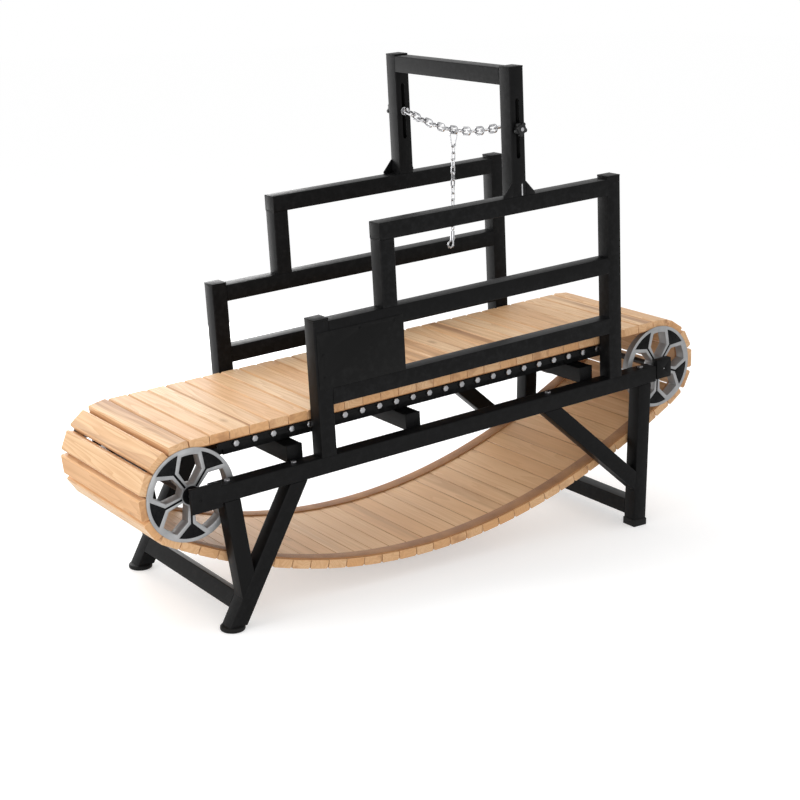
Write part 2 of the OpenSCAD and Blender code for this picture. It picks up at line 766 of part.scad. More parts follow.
module deck_stringers() {
  color("#202022") on_deck() both_sides() difference() {
    translate([stringer_rear - half_base, stringer_y - stringer_w, cross_top])
      cube([wheelbase - stringer_rear - stringer_front, stringer_w, stringer_h]);
    translate([stringer_rear - half_base - overrun, stringer_y - stringer_w + tube_wall, cross_top + tube_wall])
      cube([wheelbase, stringer_w - 2 * tube_wall, stringer_h - 2 * tube_wall]);
  }
}

module roller_holes(y) {
  for (x = roller_xs) translate([x, y - bar_t - overrun, roller_h]) rotate([-90, 0, 0])
    cylinder(r = leg_bolt_r + bolt_clear, h = bar_t + 2 * overrun);
}

module inner_roller_bars() {
  color("#202022") on_deck() both_sides() difference() {
    translate([inner_bar_rear_x, inner_bar_y - bar_t, cross_top]) cube([inner_bar_len, bar_t, bar_top - cross_top]);
    roller_holes(inner_bar_y);
  }
}

module outer_roller_bars() {
  color("#1a1a1b") on_deck() both_sides() difference() {
    translate([bar_rear_x, bar_y - bar_t, roller_h - bar_h / 2]) cube([bar_len, bar_t, bar_h]);
    roller_holes(bar_y);
  }
}

module rollers() {
  color("#2b2b2d") on_deck() both_sides() for (x = roller_xs)
    translate([x, roller_out_y - roller_len, roller_h]) rotate([-90, 0, 0]) difference() {
      cylinder(r = roller_r, h = roller_len);
      translate([0, 0, -overrun]) cylinder(r = leg_bolt_r + bolt_clear, h = roller_len + 2 * overrun);
    }
}

module roller_bolts() {
  grip = bar_y - stringer_y + 1.5 * hex_h;
  color("#c4c5c8") on_deck() both_sides() for (x = roller_xs)
    translate([x, bar_y, roller_h]) rotate([-90, 0, 0]) hex_bolt(leg_bolt_r, grip);
}

module roller_nuts() {
  color("#8c8d90") on_deck() both_sides() for (x = roller_xs)
    translate([x, stringer_y - hex_h, roller_h]) rotate([-90, 0, 0]) hex_nut(leg_bolt_r);
}

module rivet_holes() {
  for (p = rivet_spots) translate([p[0], -outer_y - panel_t - overrun, p[1]]) rotate([-90, 0, 0])
    cylinder(r = rivet_r / 2 + bolt_clear, h = panel_t + tube_wall + 2 * overrun);
}

module rear_guard_posts() {
  color("#1c1c1e") on_deck() difference() {
    both_sides() upright(-rear_post_x, half_tube, rear_post_top);
    rivet_holes();
  }
}

module mid_guard_posts() {
  color("#1c1c1e") on_deck() both_sides()
    upright(-mid_post_x, mid_rail_h + half_tube, top_rail_h - half_tube);
}

module front_guard_posts() {
  color("#1c1c1e") on_deck() both_sides() upright(front_post_x, half_tube, front_post_top);
}

module top_guard_rails() {
  color("#1c1c1e") on_deck() both_sides() rail(top_rail_rear, top_rail_h, rail_front - top_rail_rear);
}

module mid_guard_rails() {
  color("#1c1c1e") on_deck() difference() {
    both_sides() rail(rail_rear, mid_rail_h, rail_front - rail_rear);
    rivet_holes();
  }
}

module lower_guard_rails() {
  color("#1c1c1e") on_deck() both_sides() rail(rail_rear, lower_rail_h, rail_front - rail_rear);
}

module guard_caps() {
  color("#161617") on_deck() both_sides() {
    post_cap(-rear_post_x, rear_post_top);
    post_cap(front_post_x, front_post_top);
    translate([top_rail_rear, beam_y, top_rail_h]) tube_plug();
  }
}

module side_panel() {
  color("#242426") on_deck() difference() {
    translate([panel_rear, -outer_y - panel_t, panel_low]) cube([panel_len, panel_t, panel_h]);
    rivet_holes();
  }
}

module panel_rivets() {
  color("#1a1a1b") on_deck() for (p = rivet_spots) translate([p[0], -outer_y - panel_t, p[1]]) rotate([90, 0, 0]) {
    cylinder(r = rivet_r, h = rivet_r / 3);
    translate([0, 0, -panel_t - tube_wall]) cylinder(r = rivet_r / 2, h = panel_t + tube_wall + rivet_r / 6);
  }
}

module portal_posts() {
  color("#1c1c1e") on_deck() both_sides() difference() {
    upright(portal_x, top_rail_h + half_tube, portal_top);
    slot_cut();
  }
}

module portal_crossbar() {
  color("#1c1c1e") on_deck() translate([portal_x, -inner_y, portal_bar_h]) rotate([0, 0, 90]) square_tube(2 * inner_y);
}

module portal_caps() {
  color("#161617") on_deck() both_sides() post_cap(portal_x, portal_top);
}

module portal_gussets() {
  color("#1a1a1c") on_deck() both_sides() for (s = [-1, 1])
    translate([portal_x, outer_y, post_low]) rotate([90, 0, 0]) linear_extrude(gusset_t)
      polygon([[s * half_tube, 0], [s * gusset_foot, 0], [s * gusset_foot, gusset_step], [s * half_tube, gusset_rise]]);
}

// One slat at a distance along the belt
module slat(s) {
  p = belt_at(s);
  w = slat_w / 2;
  translate([p[0], 0, p[1]]) rotate([0, -p[2], 0]) translate([0, 0, slat_lift]) rotate([90, 0, 0])
    linear_extrude(2 * slat_half, center = true) polygon([[-w, 0], [w, 0], [w, slat_t - slat_edge],
      [w - slat_edge, slat_t], [slat_edge - w, slat_t], [-w, slat_t - slat_edge]]);
}

module slats_between(low, high) {
  on_deck() for (k = [0 : slat_count - 1]) if (slat_s(k) >= low && slat_s(k) < high) slat(slat_s(k));
}

module top_slats() {
  color("#e2bd8c") slats_between(0, wheelbase);
}

module front_slats() {
  color("#dcb684") slats_between(wheelbase, wheelbase + front_arc);
}

module bottom_slats() {
  color("#d2a875") slats_between(wheelbase + front_arc, wheelbase + front_arc + sag_total);
}

module rear_slats() {
  color("#dcb684") slats_between(wheelbase + front_arc + sag_total, 2 * loop_len);
}

module carrier_belts() {
  color("#8f6238") on_deck() both_sides() translate([0, slat_half - carrier_inset, 0]) rotate([90, 0, 0])
    linear_extrude(carrier_w) difference() {
      polygon(belt_loop(0));
      polygon(belt_loop(-carrier_t));
    }
}

// Outline of one spoke inlay, its spoke along +Y
module inlay_outline() {
  neck_half = wheel_r * 0.0236;
  neck_low = wheel_r * 0.21;
  flare_low = wheel_r * 0.614;
  flare_top = wheel_r * 0.871;
  flare_half = wheel_r * 0.3;
  intersection() {
    polygon([[-neck_half, neck_low], [neck_half, neck_low], [neck_half, flare_low], [flare_half, flare_top],
      [flare_half, wheel_r], [-flare_half, wheel_r], [-flare_half, flare_top], [-neck_half, flare_low]]);
    circle(r = wheel_r * 0.925);
  }
}

// Outline of one window between two spokes, along +Y
module window_outline() {
  low_half = wheel_r * 0.08;
  low = wheel_r * 0.222;
  wide_half = wheel_r * 0.262;
  wide = wheel_r * 0.515;
  top_half = wheel_r * 0.186;
  top = wheel_r * 0.84;
  intersection() {
    polygon([[-low_half, low], [low_half, low], [wide_half, wide], [top_half, top],
      [top_half, wheel_r], [-top_half, wheel_r], [-top_half, top], [-wide_half, wide]]);
    circle(r = wheel_r * 0.857);
  }
}

// Wheel with its inner face at z = 0 and its spokes upright
module wheel() {
  step = 360 / spoke_count;
  difference() {
    rotate_extrude() polygon([[axle_r + run_clear, 0], [seat_r, 0], [seat_r, wheel_depth - flange_t],
      [wheel_r, wheel_depth - flange_t], [wheel_r, wheel_depth], [axle_r + run_clear, wheel_depth]]);
    for (i = [0 : spoke_count - 1]) {
      rotate([0, 0, (i + 0.5) * step]) translate([0, 0, -overrun]) linear_extrude(wheel_depth + 2 * overrun) window_outline();
      rotate([0, 0, i * step]) translate([0, 0, wheel_depth - inlay_sunk - inlay_t])
        linear_extrude(wheel_depth) inlay_outline();
    }
  }
}

// Places a wheel's own frame on both sides, outer faces outwards, plumb to the floor
module wheel_places(x) {
  on_deck() both_sides() translate([x, wheel_y - wheel_depth, 0]) rotate([0, deck_incline, 0]) rotate([-90, 0, 0]) children();
}

module inlays() {
  for (i = [0 : spoke_count - 1]) rotate([0, 0, i * 360 / spoke_count])
    translate([0, 0, wheel_depth - inlay_sunk - inlay_t]) linear_extrude(inlay_t) inlay_outline();
}

// Hub cover outside and lock collar inside the wheel
module hub_cover() {
  bore = axle_r + run_clear;
  translate([0, 0, wheel_depth]) ring(wheel_r * 0.2, bore, hub_cover_t);
  translate([0, 0, -collar_len]) ring(collar_r, bore, collar_len);
}

module ring(r, bore, h) {
  difference() {
    cylinder(r = r, h = h);
    translate([0, 0, -overrun]) cylinder(r = bore, h = h + 2 * overrun);
  }
}

module axle(x, half) {
  on_deck() translate([x, -half, 0]) rotate([-90, 0, 0]) cylinder(r = axle_r, h = 2 * half);
}

module rear_axle() {
  color("#1d1d1f") axle(-half_base, axle_plate_y + rear_bush_len);
}

module rear_wheels() {
  color("#b5b6b9") wheel_places(-half_base) wheel();
}

module rear_wheel_inlays() {
  color("#151516") wheel_places(-half_base) inlays();
}

module rear_hub_covers() {
  color("#18181a") wheel_places(-half_base) hub_cover();
}

module front_axle() {
  color("#1d1d1f") axle(half_base, inner_y + front_bush_len);
}

module front_wheels() {
  color("#b5b6b9") wheel_places(half_base) wheel();
}

module front_wheel_inlays() {
  color("#151516") wheel_places(half_base) inlays();
}

module front_hub_covers() {
  color("#18181a") wheel_places(half_base) hub_cover();
}

// Frame of the two eye bolts: origin at the eye, +Y outwards
module eye_places() {
  both_sides() translate([eye_pt[0], eye_y, eye_pt[1]]) rotate([0, -deck_incline, 0]) children();
}

module eye_bolts() {
  tip = outer_y + face_gap + washer_t + face_gap + knob_len + bolt_proud - eye_y;
  color("#c8c9cc") eye_places() {
    rotate([0, 90, 0]) rotate_extrude() translate([eye_ring_r, 0]) circle(r = eye_wire_r);
    translate([0, eye_ring_r, 0]) rotate([-90, 0, 0]) cylinder(r = eye_bolt_r, h = tip - eye_ring_r);
  }
}

module slot_washers() {
  color("#a9aaad") eye_places() {
    translate([0, inner_y - face_gap - washer_t - eye_y, 0]) rotate([-90, 0, 0]) ring(washer_r, eye_bolt_r + run_clear, washer_t);
    translate([0, outer_y + face_gap - eye_y, 0]) rotate([-90, 0, 0]) ring(washer_r, eye_bolt_r + run_clear, washer_t);
  }
}

// Round-wire chain link along +X, flat in XY
module chain_link(inner, bend, wire) {
  straight = inner / 2 - bend + wire;
  for (s = [-1, 1]) {
    for (side = [-1, 1]) translate([0, side * bend, 0]) rotate([0, 90 * s, 0]) cylinder(r = wire, h = straight);
    translate([s * straight, 0, 0]) rotate([0, 0, -90 * s]) rotate_extrude(angle = 180) translate([bend, 0]) circle(r = wire);
  }
}

module cross_chain() {
  color("#cfd0d3") translate([eye_pt[0], 0, eye_pt[1]]) for (k = [0 : link_count - 1]) {
    a = chain_joint(k);
    b = chain_joint(k + 1);
    mid = (a + b) / 2;
    standing = abs(k - link_mid) % 2 == 0;
    translate([0, mid[0], mid[1]]) rotate([heading(b - a), 0, 0]) rotate([0, 0, 90]) rotate([standing ? 90 : 0, 0, 0])
      chain_link(norm(b - a) + link_play, link_bend, link_wire_r);
  }
}

// Star knob along +Z with a bore for the eye bolt
module star_knob() {
  lobe = knob_r * 0.3;
  difference() {
    union() {
      cylinder(r = knob_r * 0.68, h = knob_len);
      for (i = [0 : knob_lobes - 1]) rotate([0, 0, 90 + i * 360 / knob_lobes]) translate([knob_r - lobe, 0, knob_len * 0.3])
        cylinder(r = lobe, h = knob_len * 0.55);
    }
    translate([0, 0, -overrun]) cylinder(r = eye_bolt_r + run_clear, h = knob_len + 2 * overrun);
  }
}

module knob_place() {
  translate([eye_pt[0], outer_y + washer_t + 2 * face_gap, eye_pt[1]]) rotate([0, -deck_incline, 0]) rotate([-90, 0, 0]) star_knob();
}

module near_knob() {
  color("#171718") mirror([0, 1, 0]) knob_place();
}

module far_knob() {
  color("#171718") knob_place();
}

// Snap link frame: its own +Y is up, drawn flat and stood on edge along X
module snap_place() {
  translate([eye_pt[0], 0, swing_h]) rotate([90, 0, 0]) children();
}

module wire_between(a, b, wire) {
  d = b - a;
  translate([a[0], a[1], 0]) rotate([0, 0, heading(d)]) rotate([0, 90, 0]) cylinder(r = wire, h = norm(d));
}

module bend_arc(r, wire, from, sweep) {
  rotate([0, 0, from]) rotate_extrude(angle = sweep) translate([r, 0]) circle(r = wire);
}

module snap_link() {
  color("#d3d4d7") snap_place() {
    translate([0, snap_top_h, 0]) bend_arc(snap_top_r, snap_wire_r, 0, 180);
    wire_between([snap_top_r, snap_top_h], [snap_top_r, nose_h], snap_wire_r);
    translate([-snap_top_r, snap_top_h, 0]) sphere(r = knuckle_r);
    wire_between([-snap_top_r, snap_top_h], [-snap_low_r, snap_low_h], snap_wire_r);
    translate([-snap_low_r, snap_low_h, 0]) sphere(r = knuckle_r);
    translate([0, snap_low_h, 0]) bend_arc(snap_low_r, snap_wire_r, 180, 180);
    for (s = [-1, 1]) difference() {
      translate([snap_low_r - gate_r, snap_low_h - snap_wire_r, s * (ear_y + ear_t / 2) - ear_t / 2])
        cube([2 * gate_r, 2 * snap_wire_r + gate_r, ear_t]);
    }
    translate([snap_low_r - gate_r, snap_low_h - snap_wire_r, -ear_y - ear_t]) cube([2 * gate_r, snap_wire_r, 2 * (ear_y + ear_t)]);
    translate([snap_low_r, pin_h, -ear_y - ear_t]) cylinder(r = gate_pin_r, h = 2 * (ear_y + ear_t));
  }
}

module snap_gate() {
  color("#c2c3c6") snap_place() translate([snap_low_r, pin_h, 0]) rotate([0, 0, gate_tilt]) difference() {
    union() {
      sphere(r = gate_r);
      rotate([0, 90, 0]) cylinder(r = gate_r, h = gate_len);
    }
    translate([0, 0, -gate_r - overrun]) cylinder(r = gate_pin_r + run_clear, h = 2 * (gate_r + overrun));
  }
}

module tether_chain() {
  color("#cfd0d3") for (k = [0 : tether_links - 1])
    translate([eye_pt[0], 0, tether_start - (k + 0.5) * tether_pitch]) rotate([0, 90, 0]) rotate([k % 2 == 0 ? 0 : 90, 0, 0])
      chain_link(tether_pitch + link_play, tether_bend, tether_wire_r);
}

// Bolt snap frame: origin at the swivel eye's centre
module bolt_snap_place() {
  translate([eye_pt[0], 0, swivel_h]) children();
}

module swivel_eye() {
  low = barrel_top - stem_neck - face_gap;
  color("#d3d4d7") bolt_snap_place() {
    rotate([0, 90, 0]) rotate_extrude() translate([swivel_r, 0]) circle(r = swivel_wire_r);
    translate([0, 0, low - stem_head_t / 2]) cylinder(r = stem_r, h = -swivel_r - low + stem_head_t / 2);
    translate([0, 0, low - stem_head_t]) cylinder(r = stem_head_r, h = stem_head_t);
  }
}

module snap_hook() {
  cavity_h = stem_head_t + 2 * face_gap;
  neck_top = [-barrel_r / 2, barrel_low + hook_wire_r];
  arc_end = [hook_x + hook_r * cos(360 - hook_sweep), hook_h + hook_r * sin(360 - hook_sweep)];
  slot_low = stud_h - stud_r - face_gap;
  color("#d3d4d7") bolt_snap_place() difference() {
    union() {
      translate([0, 0, barrel_low]) cylinder(r = barrel_r, h = barrel_len);
      rotate([90, 0, 0]) {
        translate([hook_x, hook_h, 0]) bend_arc(hook_r, hook_wire_r, 360 - hook_sweep, hook_sweep);
        wire_between(arc_end, neck_top, hook_wire_r);
        translate([arc_end[0], arc_end[1], 0]) sphere(r = hook_wire_r);
      }
    }
    translate([0, 0, barrel_top - stem_neck - cavity_h]) cylinder(r = stem_head_r + face_gap, h = cavity_h);
    translate([0, 0, barrel_top - stem_neck - overrun]) cylinder(r = stem_r + run_clear, h = stem_neck + 2 * overrun);
    translate([trigger_x, 0, barrel_low - overrun])
      cylinder(r = trigger_r + run_clear, h = trigger_top + trigger_travel + face_gap - barrel_low + overrun);
    translate([trigger_x, -stud_r - face_gap, slot_low]) cube([barrel_r, 2 * (stud_r + face_gap), trigger_travel + 2 * (stud_r + face_gap)]);
  }
}

module snap_trigger() {
  color("#bdbec1") bolt_snap_place() translate([trigger_x, 0, 0]) {
    translate([0, 0, trigger_top - trigger_len]) cylinder(r = trigger_r, h = trigger_len);
    translate([0, 0, stud_h]) rotate([0, 90, 0]) cylinder(r = stud_r, h = barrel_r);
  }
}

main_beams();
beam_end_caps();
take_up_tongues();
front_axle_blocks();
axle_bushes();
rear_legs();
rear_struts();
rear_leg_crossbar();
rear_feet();
front_legs();
front_braces();
front_leg_crossbar();
front_feet();
leg_bolts();
deck_cross_tubes();
cross_tube_end_plates();
plate_bolts();
deck_stringers();
inner_roller_bars();
outer_roller_bars();
rollers();
roller_bolts();
roller_nuts();
rear_guard_posts();
mid_guard_posts();
front_guard_posts();
top_guard_rails();
mid_guard_rails();
lower_guard_rails();
guard_caps();
side_panel();
panel_rivets();
portal_posts();
portal_crossbar();
portal_caps();
portal_gussets();
top_slats();
front_slats();
bottom_slats();
rear_slats();
carrier_belts();
rear_axle();
rear_wheels();
rear_wheel_inlays();
rear_hub_covers();
front_axle();
front_wheels();
front_wheel_inlays();
front_hub_covers();
eye_bolts();
slot_washers();
cross_chain();
near_knob();
far_knob();
snap_link();
snap_gate();
tether_chain();
swivel_eye();
snap_hook();
snap_trigger();
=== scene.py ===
import json
import math

import bmesh
import bpy
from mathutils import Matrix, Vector


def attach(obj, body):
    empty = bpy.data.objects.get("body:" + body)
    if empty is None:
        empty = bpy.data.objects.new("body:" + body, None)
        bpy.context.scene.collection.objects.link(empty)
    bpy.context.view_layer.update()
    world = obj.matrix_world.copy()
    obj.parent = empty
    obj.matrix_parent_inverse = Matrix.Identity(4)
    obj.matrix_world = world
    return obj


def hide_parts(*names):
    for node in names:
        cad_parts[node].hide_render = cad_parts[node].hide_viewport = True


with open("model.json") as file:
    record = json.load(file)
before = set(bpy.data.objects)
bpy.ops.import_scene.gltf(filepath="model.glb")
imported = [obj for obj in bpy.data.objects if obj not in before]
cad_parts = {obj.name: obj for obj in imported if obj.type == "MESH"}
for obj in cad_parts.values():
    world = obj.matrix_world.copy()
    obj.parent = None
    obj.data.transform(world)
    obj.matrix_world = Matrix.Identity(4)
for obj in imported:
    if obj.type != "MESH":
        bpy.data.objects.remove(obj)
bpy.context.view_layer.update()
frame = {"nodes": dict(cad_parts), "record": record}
nodes = frame["nodes"]
print("frame loaded:", len(nodes), "nodes")

slotOf = {}
for entry in frame["record"]["subparts"]:
    slotOf[entry["node"]] = entry["material_slot"]
bodyOf = {}
for bodyName, members in frame["record"]["behaviour"]["bodies"].items():
    for nodeName in members:
        bodyOf[nodeName] = bodyName


# Material helpers
def freshMaterial(name):
    material = bpy.data.materials.new(name)
    material.use_nodes = True
    tree = material.node_tree
    return material, tree, tree.nodes["Principled BSDF"]


def addNode(tree, kind, **values):
    made = tree.nodes.new(kind)
    for key, value in values.items():
        made.inputs[key].default_value = value
    return made


def noiseOf(tree, coords, scale, detail, rough=0.55, distort=0.0):
    made = addNode(
        tree, "ShaderNodeTexNoise", Scale=scale, Detail=detail, Roughness=rough, Distortion=distort)
    tree.links.new(coords, made.inputs["Vector"])
    return made.outputs["Fac"]


def rampOf(tree, fac, span, dark, light):
    made = tree.nodes.new("ShaderNodeValToRGB")
    for point, place, colour in zip(made.color_ramp.elements, span, (dark, light)):
        point.position = place
        point.color = (*colour, 1.0)
    tree.links.new(fac, made.inputs["Fac"])
    return made.outputs["Color"]


def mixOf(tree, fac, first, second):
    made = tree.nodes.new("ShaderNodeMix")
    made.data_type = "RGBA"
    for socket, value in ((made.inputs[0], fac), (made.inputs[6], first), (made.inputs[7], second)):
        if isinstance(value, bpy.types.NodeSocket):
            tree.links.new(value, socket)
        else:
            socket.default_value = (*value, 1.0)
    return made.outputs[2]


def mathOf(tree, how, first, second=0.0):
    made = tree.nodes.new("ShaderNodeMath")
    made.operation = how
    for socket, value in ((made.inputs[0], first), (made.inputs[1], second)):
        if isinstance(value, bpy.types.NodeSocket):
            tree.links.new(value, socket)
        else:
            socket.default_value = value
    return made.outputs["Value"]


def spanOf(tree, value, span, reach=(0.0, 1.0)):
    made = tree.nodes.new("ShaderNodeMapRange")
    made.inputs["From Min"].default_value = span[0]
    made.inputs["From Max"].default_value = span[1]
    made.inputs["To Min"].default_value = reach[0]
    made.inputs["To Max"].default_value = reach[1]
    tree.links.new(value, made.inputs["Value"])
    return made.outputs["Result"]


def bumpOf(tree, height, strength, distance, under=None):
    made = addNode(tree, "ShaderNodeBump", Strength=strength, Distance=distance)
    tree.links.new(height, made.inputs["Height"])
    if under is not None:
        tree.links.new(under, made.inputs["Normal"])
    return made.outputs["Normal"]


def objectCoords(tree, scale=(1.0, 1.0, 1.0)):
    coords = tree.nodes.new("ShaderNodeTexCoord")
    mapping = tree.nodes.new("ShaderNodeMapping")
    mapping.inputs["Scale"].default_value = scale
    tree.links.new(coords.outputs["Object"], mapping.inputs["Vector"])
    return mapping.outputs["Vector"]


# Black coats: faint clouds, scuffed edges and a fine peel
coatSet = {
    "cloud": (5.0, 5.0), "cloudSpan": (0.3, 0.7), "scuff": (60.0, 6.0, 0.7), "scuffSpan": (0.45, 0.7),
    "edgeSpan": (0.53, 0.62), "wear": 0.5, "roughSpan": (0.3, 0.7), "roughSwing": 0.06,
    "peelDetail": 2.0, "peelBump": 0.12,
}


def coating(name, look):
    material, tree, shader = freshMaterial(name)
    coords = objectCoords(tree)
    cloud = noiseOf(tree, coords, *coatSet["cloud"])
    colour = rampOf(tree, cloud, coatSet["cloudSpan"], look["dark"], look["light"])
    geometry = tree.nodes.new("ShaderNodeNewGeometry")
    scuffs = noiseOf(tree, coords, *coatSet["scuff"])
    edge = spanOf(tree, geometry.outputs["Pointiness"], coatSet["edgeSpan"])
    wear = spanOf(tree, scuffs, coatSet["scuffSpan"], (0.0, coatSet["wear"]))
    colour = mixOf(tree, mathOf(tree, "MULTIPLY", edge, wear), colour, look["worn"])
    tree.links.new(colour, shader.inputs["Base Color"])
    reach = (look["rough"] - coatSet["roughSwing"], look["rough"] + coatSet["roughSwing"])
    tree.links.new(spanOf(tree, scuffs, coatSet["roughSpan"], reach), shader.inputs["Roughness"])
    peel = noiseOf(tree, coords, look["grain"], coatSet["peelDetail"])
    tree.links.new(bumpOf(tree, peel, coatSet["peelBump"], look["depth"]), shader.inputs["Normal"])
    shader.inputs["Specular IOR Level"].default_value = look["shine"]
    return material


# Bare metals: faint clouds and drawn lines
metalSet = {
    "cloud": (25.0, 5.0), "cloudSpan": (0.3, 0.7), "lines": (30.0, 4.0), "lineSpan": (0.3, 0.7),
    "smoother": 0.05, "rougher": 0.07, "lineBump": 0.25,
}


def metal(name, look):
    material, tree, shader = freshMaterial(name)
    shader.inputs["Metallic"].default_value = look["metallic"]
    lines = noiseOf(tree, objectCoords(tree, look["stretch"]), *metalSet["lines"])
    cloud = noiseOf(tree, objectCoords(tree), *metalSet["cloud"])
    colour = rampOf(tree, cloud, metalSet["cloudSpan"], look["dark"], look["light"])
    tree.links.new(colour, shader.inputs["Base Color"])
    reach = (look["rough"] - metalSet["smoother"], look["rough"] + metalSet["rougher"])
    tree.links.new(spanOf(tree, lines, metalSet["lineSpan"], reach), shader.inputs["Roughness"])
    tree.links.new(bumpOf(tree, lines, metalSet["lineBump"], look["depth"]), shader.inputs["Normal"])
    return material


# Slat wood: each board has its own tone and rings, and some have dark heartwood
slatWoodSet = {
    "pale": (0.86, 0.625, 0.39), "warm": (0.73, 0.43, 0.212), "deep": (0.50, 0.25, 0.10),
    # the second tone on the next line is painted light for the upward inner faces of the hanging run
    "streak": (0.21, 0.085, 0.04), "paintedLight": (0.97, 0.60, 0.31),
    "boardShift": (31.0, 17.0), "boardTones": 7.31, "toneSpan": (0.15, 0.95),
    "ringScale": (13.0, 0.75), "ringNoise": (1.0, 2.0, 0.45, 0.35), "ringCount": 15.0,
    "bandSpan": (0.2, 1.0), "bandShare": 0.5,
    "fibreScale": (620.0, 5.0), "fibreNoise": (1.0, 3.0, 0.6), "fibreSpan": (0.52, 0.75), "fibreShare": 0.22,
    "patchScale": (9.0, 1.6), "patchNoise": (1.0, 3.0), "patchSpan": (0.42, 0.75), "patchShare": 0.55,
    "heartScale": (20.0, 0.6), "heartNoise": (1.0, 3.0), "heartSpan": (0.48, 0.64), "heartShare": 0.66,
    "heartBoards": (0.5, 0.6), "knotScale": (7.0, 3.2), "knotSpan": (0.035, 0.11), "knotShare": 0.75,
    "edgeSpan": (0.52, 0.60), "edgeShare": 0.35, "endSpan": (0.75, 0.95), "endShare": 0.3,
    # hangSpan, upSpan and the share on the next line place and weigh the painted light on the hanging run
    "hangSpan": (0.46, 0.40), "upSpan": (0.3, 0.6), "paintedLightShare": 0.42,
    "roughSpan": (0.3, 0.7), "rough": (0.44, 0.6), "shine": 0.35,
    "bandBump": 0.10, "fibreBump": 0.22, "bumpDepth": 0.0004,
}


def wood(name, look):
    material, tree, shader = freshMaterial(name)
    geometry = tree.nodes.new("ShaderNodeNewGeometry")
    board = geometry.outputs["Random Per Island"]
    boardTone = mathOf(tree, "FRACT", mathOf(tree, "MULTIPLY", board, look["boardTones"]))
    coords = tree.nodes.new("ShaderNodeTexCoord")
    shift = tree.nodes.new("ShaderNodeCombineXYZ")
    for axis, amount in zip("XY", look["boardShift"]):
        tree.links.new(mathOf(tree, "MULTIPLY", board, amount), shift.inputs[axis])
    moved = tree.nodes.new("ShaderNodeVectorMath")
    moved.operation = "ADD"
    tree.links.new(coords.outputs["Object"], moved.inputs[0])
    tree.links.new(shift.outputs["Vector"], moved.inputs[1])

    def stretched(scale):
        across, along = look[scale]
        mapping = tree.nodes.new("ShaderNodeMapping")
        mapping.inputs["Scale"].default_value = (across, along, across)
        tree.links.new(moved.outputs["Vector"], mapping.inputs["Vector"])
        return mapping.outputs["Vector"]

    def shareOf(value, kind):
        return spanOf(tree, value, look[kind + "Span"], (0.0, look[kind + "Share"]))

    rings = noiseOf(tree, stretched("ringScale"), *look["ringNoise"])
    bands = mathOf(tree, "FRACT", mathOf(tree, "MULTIPLY", rings, look["ringCount"]))
    fibres = noiseOf(tree, stretched("fibreScale"), *look["fibreNoise"])
    patches = noiseOf(tree, stretched("patchScale"), *look["patchNoise"])
    tone = mixOf(tree, spanOf(tree, boardTone, look["toneSpan"]), look["pale"], look["warm"])
    tone = mixOf(tree, shareOf(patches, "patch"), tone, look["warm"])
    base = mixOf(tree, shareOf(bands, "band"), tone, look["deep"])
    chosen = spanOf(tree, board, look["heartBoards"])
    heart = shareOf(noiseOf(tree, stretched("heartScale"), *look["heartNoise"]), "heart")
    base = mixOf(tree, mathOf(tree, "MULTIPLY", heart, chosen), base, look["streak"])
    cells = addNode(tree, "ShaderNodeTexVoronoi", Scale=1.0)
    tree.links.new(stretched("knotScale"), cells.inputs["Vector"])
    knots = spanOf(tree, cells.outputs["Distance"], look["knotSpan"], (look["knotShare"], 0.0))
    base = mixOf(tree, knots, base, look["streak"])
    base = mixOf(tree, shareOf(fibres, "fibre"), base, look["streak"])
    base = mixOf(tree, shareOf(geometry.outputs["Pointiness"], "edge"), base, look["deep"])
    facing = tree.nodes.new("ShaderNodeSeparateXYZ")
    tree.links.new(coords.outputs["Normal"], facing.inputs["Vector"])
    ends = mathOf(tree, "ABSOLUTE", facing.outputs["Y"])
    base = mixOf(tree, shareOf(ends, "end"), base, look["deep"])
    # painted light: the upward inner faces of the hanging run are mixed toward a pale tone, lifting them out
    # of the shade under the deck
    place = tree.nodes.new("ShaderNodeSeparateXYZ")
    tree.links.new(coords.outputs["Object"], place.inputs["Vector"])
    hanging = spanOf(tree, place.outputs["Z"], look["hangSpan"])
    inner = mathOf(tree, "MULTIPLY", hanging, spanOf(tree, facing.outputs["Z"], look["upSpan"]))
    base = mixOf(tree, mathOf(tree, "MULTIPLY", inner, look["paintedLightShare"]), base, look["paintedLight"])
    tree.links.new(base, shader.inputs["Base Color"])
    tree.links.new(spanOf(tree, fibres, look["roughSpan"], look["rough"]), shader.inputs["Roughness"])
    shader.inputs["Specular IOR Level"].default_value = look["shine"]
    under = bumpOf(tree, bands, look["bandBump"], look["bumpDepth"])
    grain = bumpOf(tree, fibres, look["fibreBump"], look["bumpDepth"], under)
    tree.links.new(grain, shader.inputs["Normal"])
    return material


# Carrier belts of brown webbing
carrierWebSet = {
    "dark": (0.30, 0.125, 0.04), "light": (0.50, 0.245, 0.09), "cloud": (14.0, 5.0), "cloudSpan": (0.3, 0.7),
    # weaveSpan and weaveShare set the painted shade in the low parts of the weave
    "ribsAlong": 1900.0, "ribsAcross": 2300.0, "weaveSpan": (-1.0, 1.0), "weaveShare": 0.35,
    "fuzz": (400.0, 3.0), "fuzzSpan": (0.3, 0.7), "rough": (0.7, 0.9), "sheen": 0.15,
    "weaveBump": 0.5, "weaveDepth": 0.0005,
}


